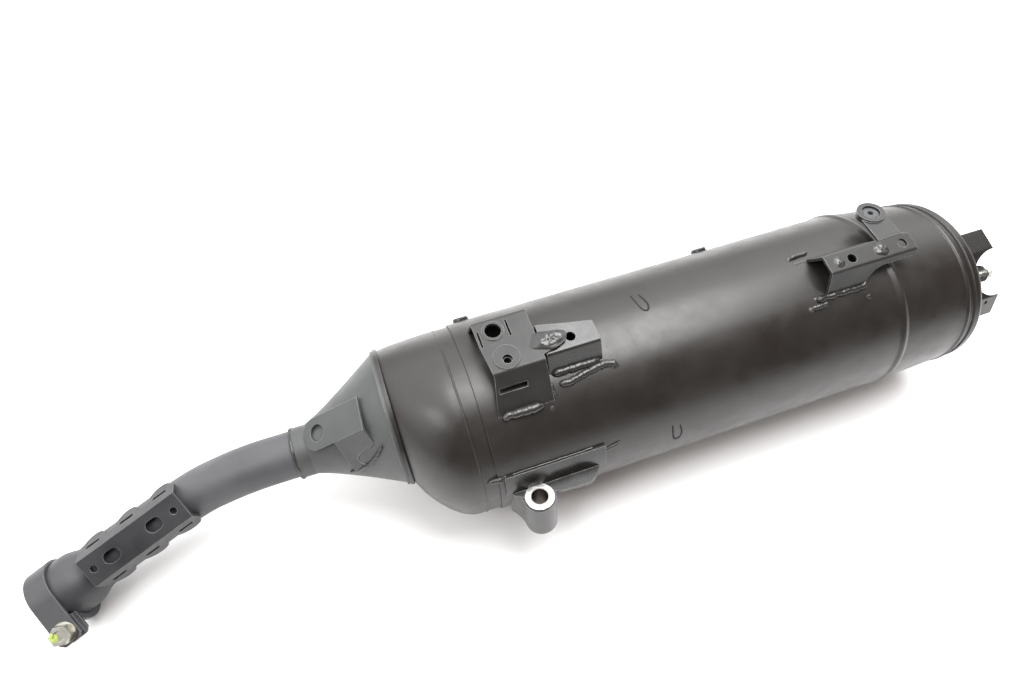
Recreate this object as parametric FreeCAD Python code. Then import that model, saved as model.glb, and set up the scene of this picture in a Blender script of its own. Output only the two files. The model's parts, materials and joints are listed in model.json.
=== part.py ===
import FreeCAD, Part
import math
import os
from FreeCAD import Vector

# Exhaust muffler for a large scooter, lying on its side. Millimetres.
# Working frame: +X runs along the can's axis to the tail, X = 0 at the rear bead, Y = Z = 0 on the axis.
# Angles round the can ("phi") are measured from +Z towards -Y. At the end everything is shifted so that
# the origin is the centre of the bounding box's bottom face.

CAN_R = 70.0
SHELL_T = 1.3
SHELL_FRONT = -314.0
SHELL_REAR = 62.0
CAP_REAR = 70.0
TAPER_START = 5.0
REAR_R = 65.0
REAR_Y = -3.7
REAR_Z = 0.9
BEAD_H = 1.1
SHEET = 2.0

DOME_SKIRT_R = CAN_R - SHELL_T
DOME_START = -328.0
DOME_END = -367.5
DOME_FAR_END = 66.4
DOME_T = 1.5
FLANGE_R = 51.0
FLANGE_T = 2.4
INLET_Y = 15.0
INLET_Z = 8.0

CONE_BIG_X = -371.5
CONE_SMALL_X = -431.0
CONE_SMALL_R = 18.4
CONE_GROW = 30.6
CONE_POWER = 1.15
CONE_T = 1.4
NECK_LENGTH = 10.0
CONE_SMALL_Y = 12.8
CONE_SMALL_Z = 1.2

PIPE_R = 17.0
PIPE_T = 1.6
PIPE_BEND_R = 90.0
PIPE_POINTS = [
    Vector(-428, 12.8, 1.2),
    Vector(-476, 12.8, 1.2),
    Vector(-515.8, 15.0, -14.2),
    Vector(-596.0, -6.7, -35.2),
]
SOCKET_CENTRE = Vector(-614.6, -13.0, -40.6)
SOCKET_AXIS = Vector(-0.93, -0.31, -0.19).normalize()
SOCKET_R = 21.6
SOCKET_T = 1.7
SOCKET_END = 20.0
GASKET_BORE_R = 17.4

BAND_GAP = 0.3
BAND_T = 2.1
BAND_START = 4.0
BAND_LIP = 2.4
EAR_DROP_DEG = 24.0
EAR_GAP = 7.3
EAR_REACH = 33.0
BOLT_REACH = 24.6
CLAMP_NUT_T = 4.4
M8_R = 4.0
M6_R = 3.0
M6_TAP_R = 2.5

RIVET_PLACES = ((-302.0, -60.0), (-105.5, -60.0))
RIVET_R = 6.0
RIVET_H = 2.6

LUG_TILT = 12.0
LUG_CENTRE = Vector(-290.3, -79.1, 16.3)
LUG_R = 11.2
LUG_DEPTH = 31.0
BUSH_R = 5.5

REAR_TILT = 7.2
REAR_TOP = 86.0

EYELET_REACH = 26.0
EYELET_X = 1.5
EYELET_R = 10.0
EYELET_BORE_R = 6.5

TAIL_PIPE_R = 19.0
TAIL_PIPE_T = 1.5
TAIL_PIPE_Y = 4.0
TAIL_PIPE_Z = -14.0
TAIL_PIPE_END = 84.0
STAY_CORNER_R = 54.5
STAY_ANGLES = (3.0, 21.0, 61.0, 80.0)
STAY_END = 100.0
STUD_RADIUS = 45.5
TAIL_NUT_X = 91.5

CATALYST_R = 39.0
CATALYST_FRONT = -366.0
CATALYST_REAR = -262.0
BAFFLES = (-210.0, -110.0, -20.0)
TUBE_R = 13.0
TUBE_T = 1.2
TRANSFER = (-30.0, 24.0)
RETURN = (28.0, 26.0)
CORE = (0.0, -22.0)

INNER_R = 61.0
INNER_T = 1.0

parts = {}


def add(name, shape):
    """Keeps one sub-part under its node name."""
    if len(shape.Solids) == 1:
        shape = shape.Solids[0]
    parts[name] = shape


def along_x(radius, x0, x1, y=0.0, z=0.0):
    """A cylinder parallel to X from x0 to x1."""
    low, high = min(x0, x1), max(x0, x1)
    return Part.makeCylinder(radius, high - low, Vector(low, y, z), Vector(1, 0, 0))


def ring_x(outer, inner, x0, x1, y=0.0, z=0.0):
    """A tube parallel to X."""
    low, high = min(x0, x1), max(x0, x1)
    return along_x(outer, low, high, y, z).cut(along_x(inner, low - 1, high + 1, y, z))


def cylinder(start, direction, radius, length):
    return Part.makeCylinder(radius, length, start, direction)


def polygon_face(points):
    return Part.Face(Part.makePolygon(list(points) + [points[0]]))


def turned(profile, centre=Vector(0, 0, 0), axis=Vector(1, 0, 0)):
    """Revolves (distance along, radius) points about an axis through centre."""
    side = axis.cross(Vector(0, 0, 1)).normalize()
    points = [centre + axis * a + side * r for a, r in profile]
    return polygon_face(points).revolve(centre, axis, 360)


def axes(x_dir, z_dir, origin):
    """A placement with its local Z along z_dir and its local X as near x_dir as it can be."""
    z = Vector(z_dir).normalize()
    y = z.cross(Vector(x_dir)).normalize()
    x = y.cross(z)
    return FreeCAD.Placement(origin, FreeCAD.Rotation(x, y, z, "ZXY"))


def placed(shape, placement):
    """The shape, drawn at the origin, moved to a placement."""
    moved = shape.copy()
    moved.Placement = placement.multiply(moved.Placement)
    return moved


def prism(points2d, height, bottom=0.0):
    """Extrudes a flat outline of (x, y) points in Z."""
    face = polygon_face([Vector(x, y, bottom) for x, y in points2d])
    return face.extrude(Vector(0, 0, height))


def rounded_corner(before, corner, after, radius):
    """The two ends and the middle of the arc that rounds a corner of a path."""
    inward = (before - corner).normalize()
    onward = (after - corner).normalize()
    half = inward.getAngle(onward) / 2
    reach = radius / math.tan(half)
    start = corner + inward * reach
    end = corner + onward * reach
    bisector = (inward + onward).normalize()
    centre = corner + bisector * (radius / math.sin(half))
    middle = centre - bisector * radius
    return start, middle, end


def rounded_path(points, radius):
    """A wire through points whose corners are tangent arcs."""
    edges = []
    last = points[0]
    for before, corner, after in zip(points, points[1:], points[2:]):
        start, middle, end = rounded_corner(before, corner, after, radius)
        edges.append(Part.makeLine(last, start))
        edges.append(Part.Arc(start, middle, end).toShape())
        last = end
    edges.append(Part.makeLine(last, points[-1]))
    return Part.Wire(edges)


def swept_tube(points, bend_radius, outer, inner):
    """A bent tube along a rounded path."""
    spine = rounded_path(points, bend_radius)
    direction = (points[1] - points[0]).normalize()
    solids = []
    for radius in (outer, inner):
        circle = Part.Wire(Part.makeCircle(radius, points[0], direction))
        solids.append(spine.makePipeShell([circle], True, True))
    return solids[0].cut(solids[1])


def bent_sheet(section, x0, x1, thickness=SHEET, bend=3.0):
    """A sheet bent along X. section is (y, z) points of its outer face; the thickness goes inwards."""
    wire = rounded_path([Vector(x0, y, z) for y, z in section], bend)
    faces = [wire.makeOffset2D(side * thickness, 0, True, True) for side in (1, -1)]
    face = min(faces, key=lambda f: f.CenterOfMass.z)
    return face.extrude(Vector(x1 - x0, 0, 0))


def on_can(x, phi, radius=CAN_R):
    """A point at an angle round the can."""
    turn = math.radians(phi)
    return Vector(x, -radius * math.sin(turn), radius * math.cos(turn))


def hexagon(across_flats, height):
    """A hexagonal prism on the XY plane."""
    corner = across_flats / math.sqrt(3)
    turns = [math.radians(60 * k) for k in range(6)]
    return prism([(corner * math.cos(t), corner * math.sin(t)) for t in turns], height)


# ---------------------------------------------------------------- the can


def bead_profile(centre, width, height, base, steps=8):
    """Points over a rolled bead, one smooth hump."""
    points = []
    for k in range(steps + 1):
        share = k / steps
        rise = height * math.sin(math.pi * share) ** 2
        points.append((centre + width * (share - 0.5), base + rise))
    return points


def taper_circle(share, radius_change=0.0):
    """A cross-section of the tail end, which narrows on its far side: 0 at its start, 1 at the cap."""
    x = TAPER_START + (SHELL_REAR - TAPER_START) * share
    centre = Vector(x, REAR_Y * share, REAR_Z * share)
    radius = CAN_R + (REAR_R - CAN_R) * share + radius_change
    return Part.Wire(Part.makeCircle(radius, centre, Vector(1, 0, 0)))


def taper_solid(radius_change=0.0):
    return Part.makeLoft([taper_circle(0, radius_change), taper_circle(1, radius_change)], True, True)


def make_main_shell():
    inner = CAN_R - SHELL_T
    outline = [(SHELL_FRONT, inner), (SHELL_FRONT, CAN_R)]
    outline += bead_profile(0.0, 8.0, BEAD_H, CAN_R)
    outline += [(TAPER_START, CAN_R), (TAPER_START, inner)]
    share = 0.91
    base = CAN_R + (REAR_R - CAN_R) * share - 0.6
    ring = bead_profile(0.0, 6.0, BEAD_H + 0.5, base)
    centre = Vector(TAPER_START + (SHELL_REAR - TAPER_START) * share, REAR_Y * share, REAR_Z * share)
    ring = turned([(-3.0, base - 0.3)] + ring + [(3.0, base - 0.3)], centre)
    tail = taper_solid().fuse(ring).cut(taper_solid(-SHELL_T))
    add("main_shell", turned(outline).fuse(tail).removeSplitter())


def dome_circle(share, wall=0.0):
    """One cross-section of the eccentric front dome, from the skirt (0) to the flange (1).

    Its far side runs nearly straight to the flange and its near side is strongly rounded."""
    lean = math.hypot(INLET_Y, INLET_Z)
    near_end = DOME_FAR_END - 2 * lean
    near = near_end + (DOME_SKIRT_R - near_end) * max(0.0, math.cos(math.pi * share / 2)) ** 0.8
    far = DOME_SKIRT_R - (DOME_SKIRT_R - DOME_FAR_END) * share * share
    shift = (far - near) / 2 / lean
    centre = Vector(DOME_START + (DOME_END - DOME_START) * share, shift * INLET_Y, shift * INLET_Z)
    return Part.Wire(Part.makeCircle((near + far) / 2 - wall, centre, Vector(1, 0, 0)))


def dome_solid(wall, lip_radius, overrun):
    """The dome filled in, with its skirt and its flange, to an inner or outer skin."""
    dome = Part.makeLoft([dome_circle(k / 4, wall) for k in range(5)], True, False)
    skirt = along_x(DOME_SKIRT_R - wall, DOME_START, SHELL_FRONT + 14 + overrun)
    lip = along_x(lip_radius, DOME_END, DOME_END - FLANGE_T - overrun, INLET_Y, INLET_Z)
    return dome.fuse([skirt, lip])


def make_front_dome():
    dome = dome_solid(0.0, FLANGE_R, 0.0).cut(dome_solid(DOME_T, 44.0, 1.0))
    add("front_dome", dome.removeSplitter())


def cone_radius(share):
    return CONE_SMALL_R + CONE_GROW * share**CONE_POWER


def cone_circle(share, wall=0.0, squeeze=1.0):
    """One cross-section of the inlet cone, from the pipe (0) to the dome (1)."""
    x = CONE_SMALL_X + (CONE_BIG_X - CONE_SMALL_X) * share
    y = CONE_SMALL_Y + (INLET_Y - CONE_SMALL_Y) * share
    z = CONE_SMALL_Z + (INLET_Z - CONE_SMALL_Z) * share
    radius = (cone_radius(share) - wall) * squeeze
    return Part.Wire(Part.makeCircle(radius, Vector(x, y, z), Vector(1, 0, 0)))


def cone_solid(wall=0.0):
    return Part.makeLoft([cone_circle(k / 6, wall) for k in range(7)], True, False)


def make_front_cone():
    neck = ring_x(
        CONE_SMALL_R,
        PIPE_R,
        CONE_SMALL_X - NECK_LENGTH,
        CONE_SMALL_X + 0.01,
        CONE_SMALL_Y,
        CONE_SMALL_Z,
    )
    lip_x = DOME_END - FLANGE_T
    lip = ring_x(FLANGE_R - 1.0, 44.0, lip_x, lip_x - FLANGE_T, INLET_Y, INLET_Z)
    cone = cone_solid().cut(cone_solid(CONE_T)).fuse([neck, lip])
    add("front_cone", cone.removeSplitter())


def make_end_cap():
    """The rear end plate: a skirt inside the shell, a rolled rim over it and a recessed face."""
    skirt = REAR_R - SHELL_T - 0.1
    rim = REAR_R + 0.5
    outline = [
        (50.0, skirt),
        (SHELL_REAR + 0.6, skirt),
        (SHELL_REAR + 0.6, rim - 0.9),
        (SHELL_REAR + 1.4, rim),
        (CAP_REAR - 3.0, rim),
        (CAP_REAR - 0.9, rim - 0.9),
        (CAP_REAR, rim - 3.0),
        (CAP_REAR, rim - 6.0),
        (CAP_REAR - 2.0, rim - 8.0),
        (CAP_REAR - 2.0, 0.0),
        (CAP_REAR - 3.5, 0.0),
        (CAP_REAR - 3.5, rim - 8.6),
        (62.0, skirt - 1.8),
        (50.0, skirt - 1.8),
    ]
    cap = turned(outline, Vector(0, REAR_Y, REAR_Z))
    cap = cap.cut(along_x(TAIL_PIPE_R, 50, 80, TAIL_PIPE_Y, TAIL_PIPE_Z))
    bolt = stay_bolt_point()
    cap = cap.cut(along_x(M6_R, 60, 75, bolt.y, bolt.z))
    add("end_cap", cap.removeSplitter())


# ---------------------------------------------------------------- inlet side


def make_header_pipe():
    add("header_pipe", swept_tube(PIPE_POINTS, PIPE_BEND_R, PIPE_R, PIPE_R - PIPE_T))


def make_inlet_socket():
    """The belled end of the header pipe, slotted so that the clamp can close it on the gasket."""
    start = PIPE_POINTS[-1]
    offset = (start - SOCKET_CENTRE).dot(SOCKET_AXIS)
    outer = []
    inner = []
    steps = 8
    for k in range(steps + 1):
        share = k / steps
        blend = share * share * (3 - 2 * share)
        along = offset + 1.0 + (-3.0 - offset - 1.0) * share
        outer.append((along, PIPE_R + (SOCKET_R - PIPE_R) * blend))
        inner.append((along, PIPE_R - PIPE_T + (SOCKET_R - SOCKET_T - PIPE_R + PIPE_T) * blend))
    outer.append((SOCKET_END, SOCKET_R))
    inner.append((SOCKET_END, SOCKET_R - SOCKET_T))
    bell = turned(outer + inner[::-1], SOCKET_CENTRE, SOCKET_AXIS)
    slot = Part.makeBox(2.4, 60, 14.5, Vector(-1.2, -30, SOCKET_END - 14))
    for turn in (45, 135):
        frame = axes(ear_direction(), SOCKET_AXIS, SOCKET_CENTRE)
        cutter = slot.copy()
        cutter.rotate(Vector(0, 0, 0), Vector(0, 0, 1), turn)
        bell = bell.cut(placed(cutter, frame))
    joint = axes(Vector(0, 0, 1), pipe_end_direction(), start)
    knuckle = Part.makeSphere(PIPE_R).cut(Part.makeSphere(PIPE_R - PIPE_T))
    knuckle = placed(knuckle, joint)
    before = placed(Part.makeBox(60, 60, 30, Vector(-30, -30, -30)), joint)
    after_frame = axes(Vector(0, 0, 1), SOCKET_AXIS, SOCKET_CENTRE + SOCKET_AXIS * (offset + 1.0))
    after = placed(Part.makeBox(60, 60, 60, Vector(-30, -30, 0)), after_frame)
    knuckle = knuckle.cut(before).cut(after)
    socket = bell.fuse(knuckle) if knuckle.Volume > 1 else bell
    add("inlet_socket", socket.cut(parts["header_pipe"]))


def pipe_end_direction():
    return (PIPE_POINTS[-1] - PIPE_POINTS[-2]).normalize()


def make_inlet_gasket():
    outline = [
        (1.0, GASKET_BORE_R),
        (1.0, SOCKET_R - SOCKET_T),
        (19.0, SOCKET_R - SOCKET_T),
        (20.0, SOCKET_R - SOCKET_T - 1.0),
        (20.0, GASKET_BORE_R),
    ]
    add("inlet_gasket", turned(outline, SOCKET_CENTRE, SOCKET_AXIS))


def ear_direction():
    """Which way the clamp's ears point from the socket's axis."""
    level = SOCKET_AXIS.cross(Vector(0, 0, 1)).normalize()
    if level.y > 0:
        level = level * -1
    up = level.cross(SOCKET_AXIS)
    if up.z < 0:
        up = up * -1
    drop = math.radians(EAR_DROP_DEG)
    return level * math.cos(drop) - up * math.sin(drop)


def clamp_frame():
    """Local X along the ears, local Z along the bolt towards the nut, local Y along the socket's axis."""
    bolt = SOCKET_AXIS.cross(ear_direction())
    if bolt.z < 0:
        bolt = bolt * -1
    return axes(ear_direction(), bolt, SOCKET_CENTRE)


def make_clamp_band():
    """A strap whose upper end runs off straight as one ear; the other ear stands out below it."""
    frame = clamp_frame()
    near, far = -SOCKET_END, -BAND_START
    width = far - near
    inner = SOCKET_R + BAND_GAP
    outer = inner + BAND_T
    ring = Part.makeCylinder(outer, width, Vector(0, near, 0), Vector(0, 1, 0))
    lip = Part.makeCylinder(outer + BAND_LIP, BAND_T, Vector(0, far - BAND_T, 0), Vector(0, 1, 0))
    lip_half = Part.makeBox(40, 60, 60, Vector(-2.0, far - 30, -60 + inner - EAR_GAP))
    ring = ring.fuse(lip.common(lip_half))
    gap = Part.makeBox(60, width + 2, EAR_GAP, Vector(0, near - 1, inner - EAR_GAP))
    ring = ring.cut(gap)
    outline = [
        (0.0, near),
        (EAR_REACH - 3, near),
        (EAR_REACH, near + 3),
        (EAR_REACH, far - 3),
        (EAR_REACH - 3, far),
        (0.0, far),
    ]
    upper_ear = prism(outline, BAND_T, inner)
    lower_ear = prism(outline, BAND_T, inner - EAR_GAP - BAND_T)
    band = ring.fuse([upper_ear, lower_ear])
    band = band.cut(Part.makeCylinder(inner, width + 2, Vector(0, near - 1, 0), Vector(0, 1, 0)))
    middle = (near + far) / 2
    hole = Part.makeCylinder(M8_R + 0.3, 60, Vector(BOLT_REACH, middle, -10))
    add("clamp_band", placed(band.cut(hole).removeSplitter(), frame))
    return frame, middle


def make_clamp_fasteners(frame, middle):
    """The flange bolt on the upper ear and the tapped plate that it pulls up from the lower ear."""
    top = SOCKET_R + BAND_GAP + BAND_T
    under = SOCKET_R + BAND_GAP - EAR_GAP
    head = hexagon(12.0, 8.0).fuse(Part.makeCylinder(7.6, 1.6))
    dish = Part.makeCylinder(3.6, 1.2, Vector(0, 0, 6.8))
    shank = Part.makeCylinder(M8_R, top - under + BAND_T + 1.0, Vector(0, 0, under - top - BAND_T - 1.0))
    bolt = head.cut(dish).fuse(shank).removeSplitter()
    bolt.translate(Vector(0, 0, top))
    half = 7.5
    nut = Part.makeBox(2 * half, 2 * half, CLAMP_NUT_T, Vector(-half, -half, 0))
    nut = nut.cut(Part.makeCylinder(M8_R, 12, Vector(0, 0, -2)))
    nut.translate(Vector(0, 0, under))
    for name, shape in (("clamp_bolt", bolt), ("clamp_nut", nut)):
        shape.translate(Vector(BOLT_REACH, middle, 0))
        shape = placed(shape, frame)
        clear = cylinder(SOCKET_CENTRE, SOCKET_AXIS, SOCKET_R + BAND_GAP + BAND_T, 30)
        add(name, shape.cut(clear) if name == "clamp_nut" else shape)


def header_frame():
    """Along the straight header pipe: local X along the pipe, local Z out of the guard bracket's top."""
    start = PIPE_POINTS[2]
    along = pipe_end_direction()
    side = Vector(0, 0, 1).cross(along).normalize()
    up = along.cross(side)
    if up.z < 0:
        up = up * -1
    back = Vector(0, 1, 0)
    side = side if side.dot(back) > 0 else side * -1
    roll = math.radians(32.0)
    return axes(along, up * math.cos(roll) - side * math.sin(roll), start)


def make_header_guard_bracket():
    """A long hat-section stay with scalloped, slotted feet either side of the header pipe."""
    low, high = 5.0, 84.0
    top, half, foot_half, foot_height = 23.5, 10.5, 18.6, 5.0
    slope = math.hypot(foot_half - half, top - foot_height)
    plate = Part.makeBox(high - low, 2 * half, SHEET, Vector(low, -half, top - SHEET))
    pieces = [plate]
    for side, foot_r in ((-1, 9.4), (1, 10.2)):
        down = Vector(0, side * (foot_half - half), foot_height - top).normalize()
        normal = Vector(0, side * (top - foot_height), foot_half - half).normalize()
        web = prism([(low, 0.0), (high, 0.0), (high, slope * 0.55), (low, slope * 0.55)], SHEET)
        for centre in (17.0, 44.5, 72.0):
            foot = Part.makeCylinder(foot_r, SHEET, Vector(centre, slope * 0.55, 0))
            web = web.fuse(foot.common(Part.makeBox(40, slope + 3, SHEET, Vector(centre - 20, 0, 0))))
        for centre in (17.0, 44.5, 72.0):
            slot = prism([(centre - 5.5, slope * 0.40), (centre + 5.5, slope * 0.40),
                          (centre + 5.5, slope * 0.56), (centre - 5.5, slope * 0.56)], SHEET + 2, -1)
            web = web.cut(slot)
        frame = FreeCAD.Placement(
            Vector(0, side * half, top),
            FreeCAD.Rotation(Vector(1, 0, 0), down, Vector(1, 0, 0).cross(down), "ZXY"),
        )
        if Vector(1, 0, 0).cross(down).dot(normal) > 0:
            web.translate(Vector(0, 0, -SHEET))
        pieces.append(placed(web, frame))
    bracket = pieces[0].fuse(pieces[1:])
    for x in (12.5, 77.2):
        collar = Part.makeCylinder(4.4, 3.4, Vector(x, 0, top - 3.4))
        bracket = bracket.fuse(collar)
    for x in (12.5, 77.2):
        bracket = bracket.cut(Part.makeCylinder(M6_TAP_R, 20, Vector(x, 0, top - 10)))
    for x in (28.3, 62.6):
        oval = Part.makeCylinder(4.4, 20, Vector(x - 1.6, 0, top - 10))
        oval = oval.fuse(Part.makeCylinder(4.4, 20, Vector(x + 1.6, 0, top - 10)))
        oval = oval.fuse(Part.makeBox(3.2, 8.8, 20, Vector(x - 1.6, -4.4, top - 10)))
        bracket = bracket.cut(oval)
    bracket = bracket.cut(Part.makeCylinder(PIPE_R, 140, Vector(-20, 0, 0), Vector(1, 0, 0)))
    bracket = placed(bracket, header_frame()).cut(parts["header_pipe"])
    add("header_guard_bracket", bracket)


def cone_bracket_frame():
    """Local X up the sloping plate from its hole, local Z out of its top face."""
    left = Vector(-422.6, 11.0, 26.2)
    right = Vector(-388.5, 5.2, 48.4)
    along = (right - left).normalize()
    normal = along.cross(Vector(-0.155, 0.988, 0.02))
    return axes(along, normal, left)


def make_cone_bracket():
    """A sloping plate over the inlet cone, welded at its round foot and by one folded side wall."""
    frame = cone_bracket_frame()
    half = 11.6
    length = 41.1
    plate = prism([(0, -half), (length, -half), (length, half), (0, half)], SHEET, -SHEET)
    plate = plate.fuse(Part.makeCylinder(half, SHEET, Vector(0, 0, -SHEET)))
    plate = plate.cut(Part.makeCylinder(6.0, 10, Vector(1.6, 0, -5)))
    plate = placed(plate, frame)
    fold_low = frame.multVec(Vector(15.0, -half, 0))
    fold_high = frame.multVec(Vector(length, -half, 0))
    toe = Vector(-404.5, -16.9, 13.0)
    inward = (fold_high - fold_low).cross(toe - fold_low).normalize()
    heel = Vector(-385.5, -18.0, 34.6)
    heel = heel - inward * (heel - fold_low).dot(inward)
    toe = toe + (toe - fold_low).normalize() * 3.0
    heel = heel + (heel - fold_high).normalize() * 6.0
    wall = polygon_face([fold_low, fold_high, heel, toe]).extrude(inward * SHEET)
    bracket = plate.fuse(wall).cut(cone_solid()).cut(neck_solid()).cut(ring_lips_solid())
    add("cone_bracket", max(bracket.Solids, key=lambda solid: solid.Volume))


def neck_solid():
    x0 = CONE_SMALL_X - NECK_LENGTH
    return along_x(CONE_SMALL_R, x0, CONE_SMALL_X + 1, CONE_SMALL_Y, CONE_SMALL_Z)


def ring_lips_solid():
    return along_x(FLANGE_R, DOME_END, DOME_END - 2 * FLANGE_T, INLET_Y, INLET_Z)


# ---------------------------------------------------------------- brackets on the can


def can_solid():
    return along_x(CAN_R, DOME_START, SHELL_REAR)


def bead_solid():
    return along_x(CAN_R + BEAD_H + 0.1, -4.0, 4.0)


def make_front_bracket_plate():
    """The mounting stay at the front: flat top, sloping front wall and back wall."""
    top = 84.0
    section = [(38.5, 52.0), (25.5, top), (-15.0, top), (-38.0, 57.0)]
    stay = bent_sheet(section, -309.0, -265.0)
    trim = prism([(-320, 50), (-303.5, 50), (-303.0, 26), (-302.6, 6), (-300.2, -17), (-304.5, -37),
                  (-305.5, -50), (-320, -50)], 120)
    stay = stay.cut(trim)
    tongue = prism([(-266, 5.2), (-262, 4.4), (-251, 2.4), (-248, -0.6), (-248.4, -5.0),
                    (-251.5, -7.2), (-262, -10.6), (-266, -11.4)], SHEET, top - SHEET)
    pad = Part.makeCylinder(9.0, 1.0, Vector(-288.3, -5.8, top))
    rim = Part.makeCylinder(7.4, 0.8, Vector(-290.6, 15.5, top))
    stay = stay.fuse([tongue, pad, rim])
    stay = stay.cut(Part.makeCylinder(5.5, 20, Vector(-290.6, 15.5, top - 10)))
    stay = stay.cut(Part.makeCylinder(M6_R + 0.3, 20, Vector(-288.3, -7.6, top - 10)))
    stay = stay.cut(Part.makeBox(1.3, 12.5, 20, Vector(-301.3, 5.5, top - 10)))
    stay = stay.cut(Part.makeBox(1.3, 12.5, 20, Vector(-281.0, 8.8, top - 10)))
    slot = Part.makeBox(19.0, 3.6, 14, Vector(-299.0, -1.8, -7))
    lean = FreeCAD.Rotation(Vector(1, 0, 0), 49.5)
    slot.Placement = FreeCAD.Placement(Vector(0, -23.3, 74.4), lean).multiply(slot.Placement)
    stay = stay.cut(slot).cut(can_solid())
    add("front_bracket_plate", stay.removeSplitter())


def make_front_bracket_nut():
    nut = hexagon(10.0, 5.2).cut(Part.makeCylinder(M6_TAP_R, 12, Vector(0, 0, -2)))
    nut.translate(Vector(-288.3, -7.6, 84.0 - SHEET - 5.2))
    add("front_bracket_weld_nut", nut)


def make_front_bracket_channel():
    """The low channel behind the stay, under its tongue."""
    top = 82.0
    section = [(14.0, top), (-12.0, top), (-21.5, 62.0)]
    channel = bent_sheet(section, -263.0, -225.5, bend=2.6)
    channel = channel.cut(prism([(-264, 30), (-264, 12.2), (-224, 3.2), (-224, 30)], 60, 60))
    back = prism([(-263.0, 11.9), (-225.5, 3.5), (-225.5, 1.5), (-263.0, 9.9)], top - 61.0, 61.0)
    channel = channel.fuse(back)
    channel = channel.cut(Part.makeCylinder(3.4, 20, Vector(-243.6, -3.6, top - 10)))
    add("front_bracket_channel", channel.cut(can_solid()).removeSplitter())



def lug_frame():
    turn = math.radians(LUG_TILT)
    return axes(Vector(1, 0, 0), Vector(0, math.sin(turn), math.cos(turn)), LUG_CENTRE)


def lug_outline(inset):
    """The lug's outline: a round nose, one straight side and one flared side, from the can outwards."""
    r = LUG_R - inset
    base = 14.0
    edges = [
        Part.makeLine(Vector(r, base, 0), Vector(r, 0, 0)),
        Part.Arc(Vector(r, 0, 0), Vector(0, -r, 0), Vector(-r, 0, 0)).toShape(),
        Part.Arc(Vector(-r, 0, 0), Vector(-r - 1.6, 6.0, 0), Vector(-r - 6.5, base, 0)).toShape(),
        Part.makeLine(Vector(-r - 6.5, base, 0), Vector(r, base, 0)),
    ]
    return Part.Face(Part.Wire(edges))


def make_mounting_lug():
    """A drawn steel arm: flat top, deep skirt and open underside, with the bush through it."""
    outer = lug_outline(0.0).extrude(Vector(0, 0, -LUG_DEPTH))
    hollow = lug_outline(2.3).extrude(Vector(0, 0, -LUG_DEPTH))
    hollow.translate(Vector(0, 0, -2.3))
    lug = outer.cut(hollow).cut(Part.makeCylinder(8.0, 90, Vector(0, 0, -60)))
    lug = placed(lug, lug_frame())
    lug = lug.cut(along_x(CAN_R, -330, -250)).cut(lower_bracket_solid())
    solids = sorted(lug.Solids, key=lambda s: s.Volume)
    add("mounting_lug", solids[-1])


def make_lug_bush():
    tube = Part.makeCylinder(8.0, LUG_DEPTH + 0.6, Vector(0, 0, -LUG_DEPTH - 0.6))
    flange = Part.makeCylinder(10.0, 1.4)
    bush = tube.fuse(flange).cut(Part.makeCylinder(BUSH_R, 90, Vector(0, 0, -60)))
    add("lug_bush", placed(bush.removeSplitter(), lug_frame()))


def lower_bracket_solid():
    """An angle on the can's side: a curved flange welded to the shell and a shelf that stands out."""
    flange = ring_x(CAN_R + SHEET, CAN_R, -313.0, -238.0)
    wedge = polygon_face([Vector(-330, 0, 0), on_can(-330, 64, 90), on_can(-330, 78.6, 90)])
    flange = flange.common(wedge.extrude(Vector(120, 0, 0)))
    frame = lug_frame()
    shelf = prism([(-16.5, 14), (-16.5, 8), (-9.0, 3.0), (12.0, 1.0), (16.0, -0.8), (36.0, -2.0),
                   (41.0, 0.6), (46.5, 7.5), (49.0, 14)], SHEET, -SHEET)
    shelf = placed(shelf, frame).cut(along_x(CAN_R, -330, -200))
    ends = prism([(-330, -90), (-313, -90), (-309, -58), (-330, -58)], 60)
    return flange.fuse(shelf).cut(ends).removeSplitter()


def make_lower_bracket():
    bracket = lower_bracket_solid().cut(placed(Part.makeCylinder(8.0, 20, Vector(0, 0, -10)), lug_frame()))
    bracket = bracket.cut(placed(Part.makeCylinder(10.0, 3, Vector(0, 0, 0)), lug_frame()))
    add("lower_bracket", bracket)



def make_rear_bracket():
    """A hat-section stay over the rear bead: flat top with two holes, arched front wall, flanged feet."""
    section = [(21.5, 66.4), (16.4, 67.0), (7.0, REAR_TOP), (-7.0, REAR_TOP), (-16.4, 67.0), (-21.5, 66.4)]
    stay = bent_sheet(section, -66.0, 13.0, bend=2.4)
    stay = stay.cut(Part.makeBox(10.0, 36.0, 40.0, Vector(-66.0, -18.0, 68.6)))
    stay = stay.cut(Part.makeBox(26.0, 30.0, 25.0, Vector(-12.0, -38.0, 56.0)))
    stay = stay.cut(Part.makeCylinder(13.5, 40.0, Vector(-12.0, -38.0, 67.5), Vector(0, 1, 0))
                    .common(Part.makeBox(60, 30.0, 60, Vector(-40, -38.0, 40))))
    stay = stay.cut(Part.makeBox(24.0, 34.0, 18.5, Vector(-10.5, 5.0, 60.0)))
    stay = stay.cut(Part.makeCylinder(3.4, 20, Vector(-36.5, 0, REAR_TOP - 10)))
    stay = stay.cut(Part.makeCylinder(3.4, 20, Vector(4.5, 0, REAR_TOP - 10)))
    stay.rotate(Vector(0, 0, 0), Vector(1, 0, 0), REAR_TILT)
    stay = stay.cut(can_solid()).cut(bead_solid())
    solids = sorted(stay.Solids, key=lambda s: s.Volume)
    add("rear_bracket", solids[-1])



def arm_frame():
    """Local X along the can, local Y away from the rear bracket's back edge, local Z out of the arm."""
    turn = math.radians(REAR_TILT)
    y, z = 6.6, REAR_TOP
    edge = Vector(0, y * math.cos(turn) - z * math.sin(turn), y * math.sin(turn) + z * math.cos(turn))
    lean = math.radians(8.0)
    return axes(Vector(1, 0, 0), Vector(0, math.sin(lean), math.cos(lean)), edge)


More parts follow.
